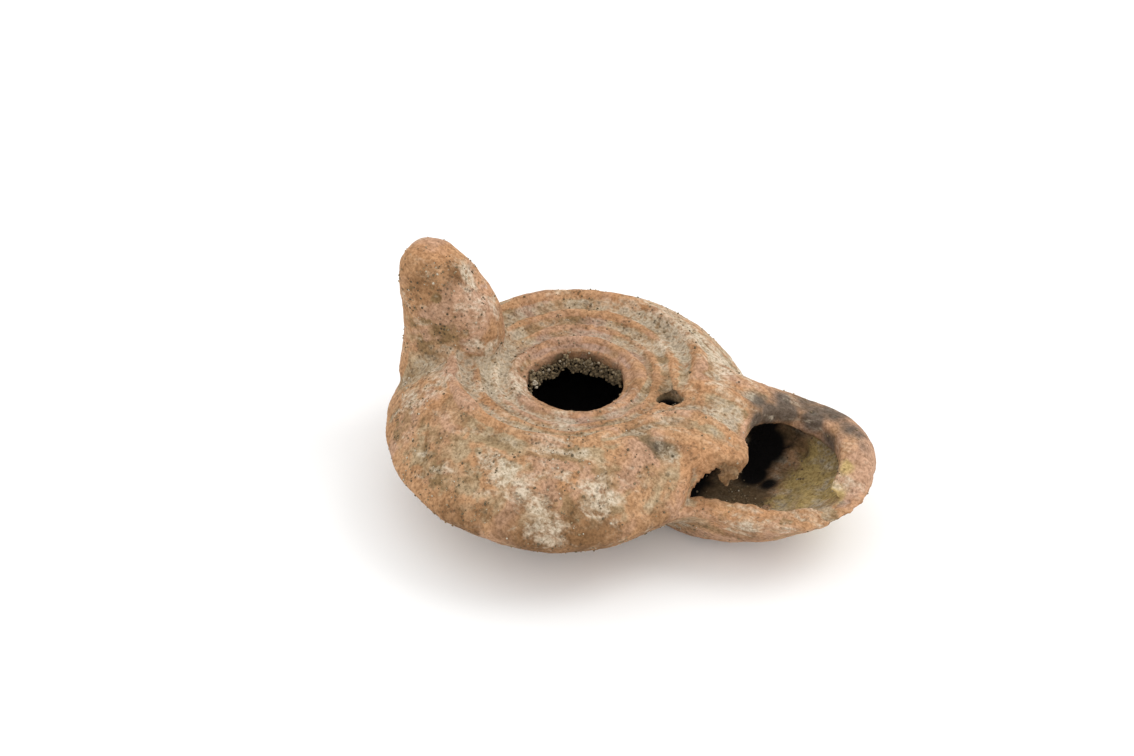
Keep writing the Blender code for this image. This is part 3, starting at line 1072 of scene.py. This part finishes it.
@dataclass
class ClingingGrit:
    """Soil grains that stick to the clay all over, and thickly in sheltered places."""

    count: int = 3000
    smallest: float = 0.08 * MM
    largest: float = 0.30 * MM
    seed: int = 11

    def build(self, skin: Skin) -> bpy.types.Object:
        """Scatters the grains.

        Args:
            skin: the clay's points.

        Returns:
            The finished piece.
        """
        draws = np.random.default_rng(self.seed)
        points, normals = skin.points, skin.normals()
        clusters = slope(roughness_of(points, 6.0 * MM, 3, 23.0), -0.05, 0.30)
        sheltered = ClayBody.spotted(points, Stain.OLIVE) + 2.0 * ClayBody.spotted(points, Stain.SOIL)
        weight = (0.12 + clusters) * (0.16 + sheltered) * slope(points[:, 2], 1.0 * MM, 3.0 * MM)
        # No grains where shade is painted.
        weight *= 1.0 - skin.masks["hollow"]
        chosen = draws.choice(len(points), self.count, replace=False, p=weight / weight.sum())
        radii = self.smallest + (self.largest - self.smallest) * draws.random(self.count) ** 2.2
        places = points[chosen] + normals[chosen] * (0.25 * radii).reshape(-1, 1)
        piece = grain_heap("clinging_grit", places, radii, draws.random(self.count), draws)
        fit_to_frame(piece, SoilGrains().material("soil_grains"))
        return piece


@dataclass
class HoleCrust:
    """Coarse crumbs of soil on the far wall of the filling hole, and a pale lump beside them."""

    hole_radius: float = 10.2 * MM
    count: int = 1150
    low: float = 19.3 * MM
    high: float = 22.6 * MM
    raggedness: float = 2.6 * MM
    first_turn: float = math.radians(42.0)
    last_turn: float = math.radians(196.0)
    smallest: float = 0.12 * MM
    largest: float = 0.46 * MM
    lump_turn: float = math.radians(183.0)
    lump_height: float = 20.9 * MM
    lump_radius: float = 0.95 * MM
    lump_grains: int = 14
    lump_spread: float = 0.45
    lump_tone: float = 0.93
    seed: int = 5

    def build(self) -> bpy.types.Object:
        """Packs the crumbs on the wall.

        Returns:
            The finished piece.
        """
        draws = np.random.default_rng(self.seed)
        turns = draws.uniform(self.first_turn, self.last_turn, self.count)
        ragged = [noise.fractal(Vector((turn * 3.0, 0.0, 7.0)), 1.0, 2.0, 3) for turn in turns]
        rise = (self.high - self.low) * draws.random(self.count) ** 1.5
        heights = self.low + rise + self.raggedness * np.array(ragged)
        radii = self.smallest + (self.largest - self.smallest) * draws.random(self.count) ** 1.6
        reach = self.hole_radius - 0.4 * radii - 0.5 * MM * draws.random(self.count) ** 2
        places = np.stack([reach * np.cos(turns), reach * np.sin(turns), heights], axis=1)
        tones = 0.85 * draws.random(self.count) ** 1.3
        toward = np.array([math.cos(self.lump_turn), math.sin(self.lump_turn), 0.0])
        lump = (self.hole_radius - self.lump_radius) * toward
        lump[2] = self.lump_height
        around = lump + draws.normal(scale=self.lump_spread * self.lump_radius, size=(self.lump_grains, 3))
        places = np.concatenate([places, around])
        radii = np.concatenate([radii, np.full(self.lump_grains, self.lump_spread * self.lump_radius)])
        tones = np.concatenate([tones, np.full(self.lump_grains, self.lump_tone)])
        piece = grain_heap("hole_crust", places, radii, tones, draws)
        fit_to_frame(piece, SoilGrains().material("crust_grains"))
        return piece


@dataclass
class TornKnob:
    """A curl of torn clay that hangs at the corner of the broken spout."""

    place: tuple[float, float, float] = (38.6 * MM, -11.0 * MM, 20.9 * MM)
    radius: float = 1.75 * MM
    unevenness: float = 1.10 * MM
    curl_width: float = 1.7 * MM
    browned: float = 0.62
    soiled: float = 0.26
    lobes: tuple[tuple[tuple[float, float, float], float], ...] = (
        ((0.0, 0.0, 0.0), 1.0),
        ((-0.7, 0.3, 0.5), 0.9),
        ((-0.4, -0.5, -0.5), 0.8),
    )

    def build(self, clay: bpy.types.Material) -> bpy.types.Object:
        """Shapes the knob.

        Args:
            clay: the lamp's own clay.

        Returns:
            The finished piece.
        """
        bm = bmesh.new()
        for shift, share in self.lobes:
            placed = Matrix.Translation(Vector(self.place) + Vector(shift) * self.radius)
            bmesh.ops.create_icosphere(bm, subdivisions=4, radius=share * self.radius, matrix=placed)
        bm.normal_update()
        for vertex in bm.verts:
            swell = noise.fractal(vertex.co / self.curl_width, 1.0, 2.0, 3)
            vertex.co += vertex.normal * self.unevenness * swell
        mesh = bpy.data.meshes.new("torn_knob")
        bm.to_mesh(mesh)
        bm.free()
        piece = link("torn_knob", mesh)
        skin = Skin(mesh)
        skin.mark(Stain.BROWN.value, np.full(len(skin.points), self.browned))
        skin.mark(Stain.SOIL.value, np.full(len(skin.points), self.soiled))
        fit_to_frame(piece, clay)
        return piece


@dataclass
class Studio:
    """A pale floor, soft light from all round and a soft key light, and the photograph's camera.

    Attributes:
        azimuth: the camera's turn round the lamp, 0 looking along +Y.
        elevation: its height above the horizon.
        lens: focal length in millimetres.
        distance: from the camera to its aim.
        aim: the point in the middle of the view.
    """

    floor_size: float = 6.0
    floor_colour: Colour = (0.82, 0.82, 0.815, 1.0)
    floor_glow: float = 0.08
    sky: float = 1.22
    key_power: float = 1.5
    key_size: float = 0.45
    key_place: tuple[float, float, float] = (0.42, 0.26, 0.62)
    azimuth: float = math.radians(24.1)
    elevation: float = math.radians(36.85)
    lens: float = 70.0
    sensor: float = 36.0
    distance: float = 0.4594
    anchor_height: float = 0.0245
    shift_right: float = -0.001875
    shift_up: float = 0.0003125

    def build(self) -> None:
        """Makes the floor, lights and camera."""
        self.lay_floor()
        self.light()
        self.place_camera()

    def lay_floor(self) -> None:
        """Makes the floor."""
        bm = bmesh.new()
        bmesh.ops.create_grid(bm, x_segments=1, y_segments=1, size=self.floor_size / 2.0)
        mesh = bpy.data.meshes.new("studio_floor")
        bm.to_mesh(mesh)
        bm.free()
        floor = link("studio_floor", mesh)
        pale = Recipe("pale_floor")
        pale.shader.inputs["Emission Color"].default_value = (1.0, 1.0, 1.0, 1.0)
        pale.shader.inputs["Emission Strength"].default_value = self.floor_glow
        mesh.materials.append(pale.done(self.floor_colour, 0.9, None, 0.0))

    def light(self) -> None:
        """Makes the even white surroundings and the key light."""
        scene = bpy.context.scene
        scene.view_settings.view_transform = "Standard"
        world = bpy.data.worlds.new("studio")
        world.use_nodes = True
        world.node_tree.nodes["Background"].inputs["Color"].default_value = (1.0, 1.0, 1.0, 1.0)
        world.node_tree.nodes["Background"].inputs["Strength"].default_value = self.sky
        scene.world = world
        lamp = bpy.data.lights.new("key_light", "AREA")
        lamp.shape = "DISK"
        lamp.size = self.key_size
        lamp.energy = self.key_power
        key = bpy.data.objects.new("key_light", lamp)
        scene.collection.objects.link(key)
        key.location = self.key_place
        key.rotation_euler = Vector(self.key_place).to_track_quat("Z", "Y").to_euler()

    def place_camera(self) -> None:
        """Puts the camera where the photograph was taken from."""
        turn, flat = self.azimuth, math.cos(self.elevation)
        back = Vector((math.sin(turn) * flat, -math.cos(turn) * flat, math.sin(self.elevation)))
        right = Vector((math.cos(self.azimuth), math.sin(self.azimuth), 0.0))
        up = back.cross(right)
        aim = Vector((0.0, 0.0, self.anchor_height)) + right * self.shift_right + up * self.shift_up
        data = bpy.data.cameras.new("photo_camera")
        data.lens = self.lens
        data.sensor_width = self.sensor
        data.clip_start = 0.01
        camera = bpy.data.objects.new("photo_camera", data)
        bpy.context.scene.collection.objects.link(camera)
        camera.location = aim + back * self.distance
        camera.rotation_euler = (-back).to_track_quat("-Z", "Y").to_euler()
        bpy.context.scene.camera = camera


def main() -> None:
    """Builds the dressed lamp and the studio round it."""
    logging.basicConfig(level=logging.INFO, format="%(name)s: %(message)s")
    Studio().build()
    body, skin = ClayBody().build()
    ClingingGrit().build(skin)
    HoleCrust().build()
    TornKnob().build(body.data.materials[0])


if __name__ == "__main__":
    main()
